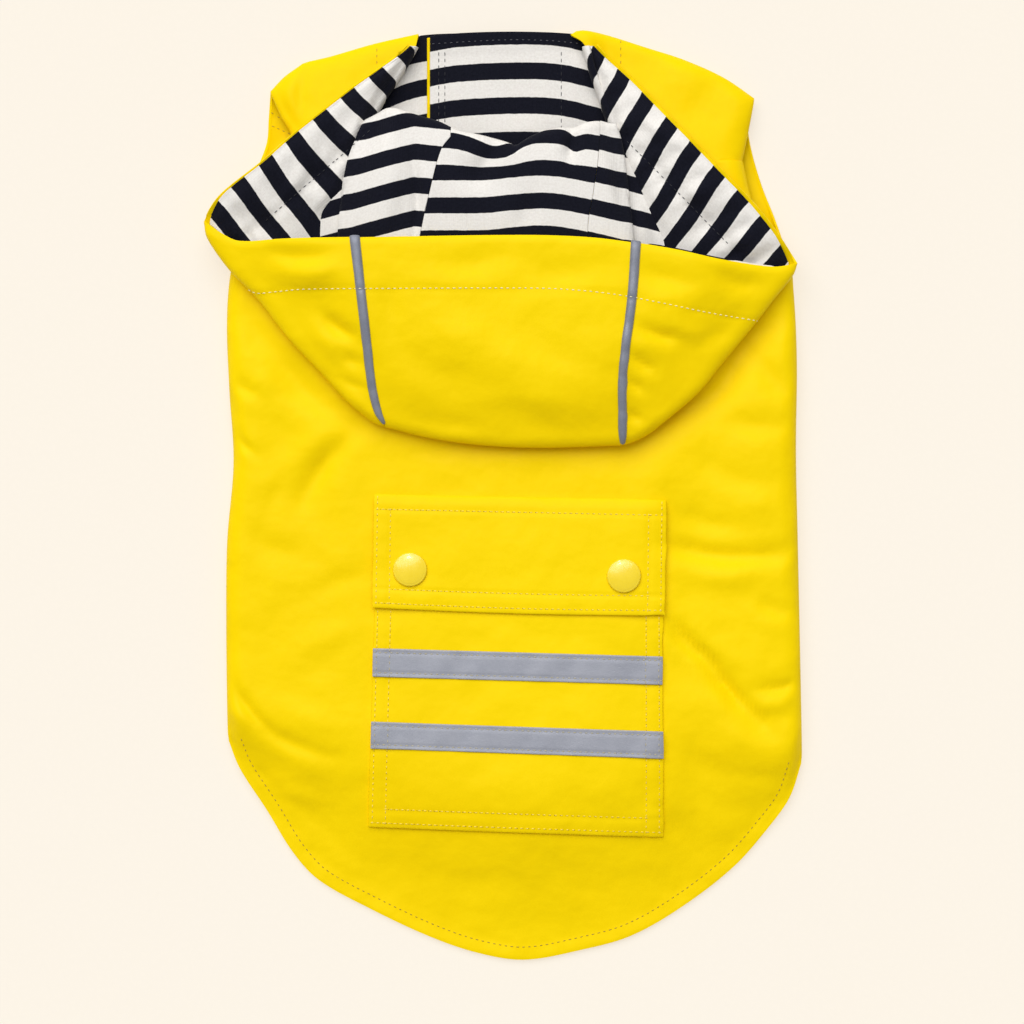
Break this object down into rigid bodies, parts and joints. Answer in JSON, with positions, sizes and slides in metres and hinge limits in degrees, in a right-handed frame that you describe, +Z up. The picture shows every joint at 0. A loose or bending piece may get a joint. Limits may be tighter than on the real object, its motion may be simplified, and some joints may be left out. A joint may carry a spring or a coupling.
{
  "type": "dog raincoat",
  "caption": "Hooded dog raincoat laid flat, back up, with its hood thrown back, a flapped back pocket, reflective tape and a striped lining.",
  "frame": {"origin": "bottom centre of the coat's box, on the surface that it lies on", "axes": "+X across the coat, +Y from tail to neck, +Z up out of the back panel"},
  "size_m": [0.264, 0.4104, 0.0314],
  "materials": {
    "coated_cloth": "yellow coated rainwear cloth with a low sheen",
    "striped_jersey": "matt jersey in even off-white and navy stripes",
    "reflective_tape": "grey glass-bead reflective tape",
    "snap_cap": "glossy yellow plastic"
  },
  "bodies": {
    "root": {"back": "coated_cloth", "front_left": "coated_cloth", "front_right": "coated_cloth", "hood_centre": "coated_cloth", "hood_left": "coated_cloth", "hood_right": "coated_cloth", "hood_lining_centre": "striped_jersey", "hood_lining_left": "striped_jersey", "hood_lining_right": "striped_jersey", "neck_lining_left": "striped_jersey", "neck_lining_right": "striped_jersey", "piping_left": "reflective_tape", "piping_right": "reflective_tape", "tape_upper": "reflective_tape", "tape_lower": "reflective_tape", "pocket": "coated_cloth", "pocket_flap": "coated_cloth", "snap_left": "snap_cap", "snap_right": "snap_cap"}
  },
  "joints": []
}
